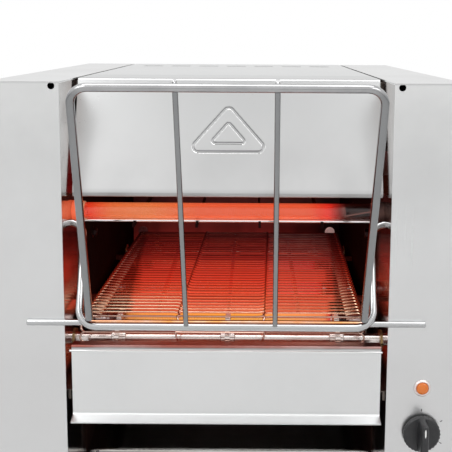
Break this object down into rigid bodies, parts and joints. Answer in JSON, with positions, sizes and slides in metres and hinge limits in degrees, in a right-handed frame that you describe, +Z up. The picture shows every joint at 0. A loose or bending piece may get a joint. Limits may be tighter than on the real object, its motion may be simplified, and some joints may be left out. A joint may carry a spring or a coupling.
{
  "type": "conveyor toaster",
  "caption": "Countertop conveyor toaster with a wire loading rack, flat-flex belt between quartz heaters, toast slide, and pull-out trays.",
  "frame": {"origin": "middle of the overall box, on the table that the feet stand on", "axes": "+X to the right seen from the front, +Y back, +Z up"},
  "size_m": [0.375, 0.4929, 0.3937],
  "materials": {
    "satin_stainless": "satin stainless sheet with a faint vertical grain",
    "polished_liner": "polished stainless sheet, heat tinted near the heaters",
    "bright_reflector": "aluminised reflector sheet",
    "inner_steel": "plain steel strip, heat darkened",
    "rack_wire": "electropolished stainless wire",
    "belt_wire": "stainless wire, straw tinted by heat",
    "shaft_steel": "turned steel",
    "bush_bronze": "plain bronze",
    "quartz": "clear quartz tube",
    "glowing_coil": "heating wire at red heat",
    "ceramic": "unglazed cream ceramic",
    "cap_steel": "plated steel cap",
    "foot_rubber": "matt black rubber",
    "knob_plastic": "black phenolic knob with a white line",
    "black_plastic": "black moulded plastic",
    "lamp_lens": "amber lens",
    "board": "circuit board with its parts",
    "terminal_plastic": "cream plastic",
    "motor_housing": "zinc plated motor and gearbox housing",
    "screw_steel": "plated screw heads"
  },
  "bodies": {
    "body": {"base_pan": "satin_stainless", "rubber_feet": "foot_rubber", "left_side_cover": "satin_stainless", "right_side_cover": "satin_stainless", "hood_panel": "satin_stainless", "top_cover": "satin_stainless", "roof_rails": "inner_steel", "rear_cover": "satin_stainless", "left_chamber_wall": "polished_liner", "right_chamber_wall": "polished_liner", "wall_screws": "screw_steel", "upper_reflector": "bright_reflector", "rear_deflector": "polished_liner", "deflector_screws": "screw_steel", "heat_shield": "bright_reflector", "upper_tubes": "quartz", "upper_coils": "glowing_coil", "upper_ceramics": "ceramic", "lower_tubes": "quartz", "lower_coils": "glowing_coil", "lower_tube_caps": "cap_steel", "lower_tube_brackets": "inner_steel", "guard_rods": "inner_steel", "guard_strips": "inner_steel", "lower_reflector": "bright_reflector", "conveyor_belt": "belt_wire", "shaft_bushes": "bush_bronze", "cross_bars": "inner_steel", "belt_rails": "inner_steel", "gear_motor": "motor_housing", "motor_standoffs": "inner_steel", "crumb_rails": "inner_steel", "toast_slide": "polished_liner", "mode_switch": "black_plastic", "speed_control": "black_plastic", "pilot_lamp": "lamp_lens", "control_board": "board", "board_standoffs": "inner_steel", "terminal_block": "terminal_plastic", "fan_frame": "black_plastic", "cable_gland": "black_plastic", "cover_screws": "screw_steel"},
    "front_shaft": {"front_shaft": "shaft_steel", "front_sprockets": "shaft_steel"},
    "drive_shaft": {"drive_shaft": "shaft_steel", "rear_sprockets": "shaft_steel", "drive_gear": "shaft_steel"},
    "motor_pinion": {"motor_pinion": "shaft_steel"},
    "fan_impeller": {"fan_impeller": "black_plastic"},
    "rack": {"rack_frame": "rack_wire", "rack_hanger": "rack_wire", "rack_inner_wires": "rack_wire", "rack_stop_rod": "rack_wire"},
    "crumb_tray": {"crumb_tray": "satin_stainless"},
    "toast_tray": {"toast_tray": "satin_stainless"},
    "mode_knob": {"mode_knob": "knob_plastic"},
    "speed_knob": {"speed_knob": "knob_plastic"}
  },
  "joints": [
    {"name": "drive_spin", "type": "hinge", "parent": "body", "child": "drive_shaft", "pos_m": [0, 0.1425, 0.171], "axis": [1, 0, 0], "continuous": true},
    {"name": "front_spin", "type": "hinge", "parent": "body", "child": "front_shaft", "pos_m": [0, -0.1275, 0.171], "axis": [1, 0, 0], "continuous": true},
    {"name": "pinion_spin", "type": "hinge", "parent": "body", "child": "motor_pinion", "pos_m": [0, 0.11916, 0.14766], "axis": [1, 0, 0], "continuous": true},
    {"name": "fan_spin", "type": "hinge", "parent": "body", "child": "fan_impeller", "pos_m": [-0.155, 0.2115, 0.085], "axis": [0, 1, 0], "continuous": true},
    {"name": "rack_lift", "type": "hinge", "parent": "body", "child": "rack", "pos_m": [0, -0.13367, 0.271], "axis": [-1, 0, 0], "range_deg": [0, 60]},
    {"name": "crumb_tray_slide", "type": "slide", "parent": "body", "child": "crumb_tray", "axis": [0, -1, 0], "range_m": [0, 0.28]},
    {"name": "toast_tray_slide", "type": "slide", "parent": "body", "child": "toast_tray", "axis": [0, -1, 0], "range_m": [0, 0.12]},
    {"name": "mode_turn", "type": "hinge", "parent": "body", "child": "mode_knob", "pos_m": [0.156, -0.1635, 0.108], "axis": [0, 1, 0], "range_deg": [0, 180]},
    {"name": "speed_turn", "type": "hinge", "parent": "body", "child": "speed_knob", "pos_m": [0.156, -0.1635, 0.062], "axis": [0, 1, 0], "range_deg": [0, 270]}
  ],
  "couplings": [
    {"joint": "front_spin", "follows": "drive_spin", "ratio": 1},
    {"joint": "pinion_spin", "follows": "drive_spin", "ratio": -1.75}
  ]
}
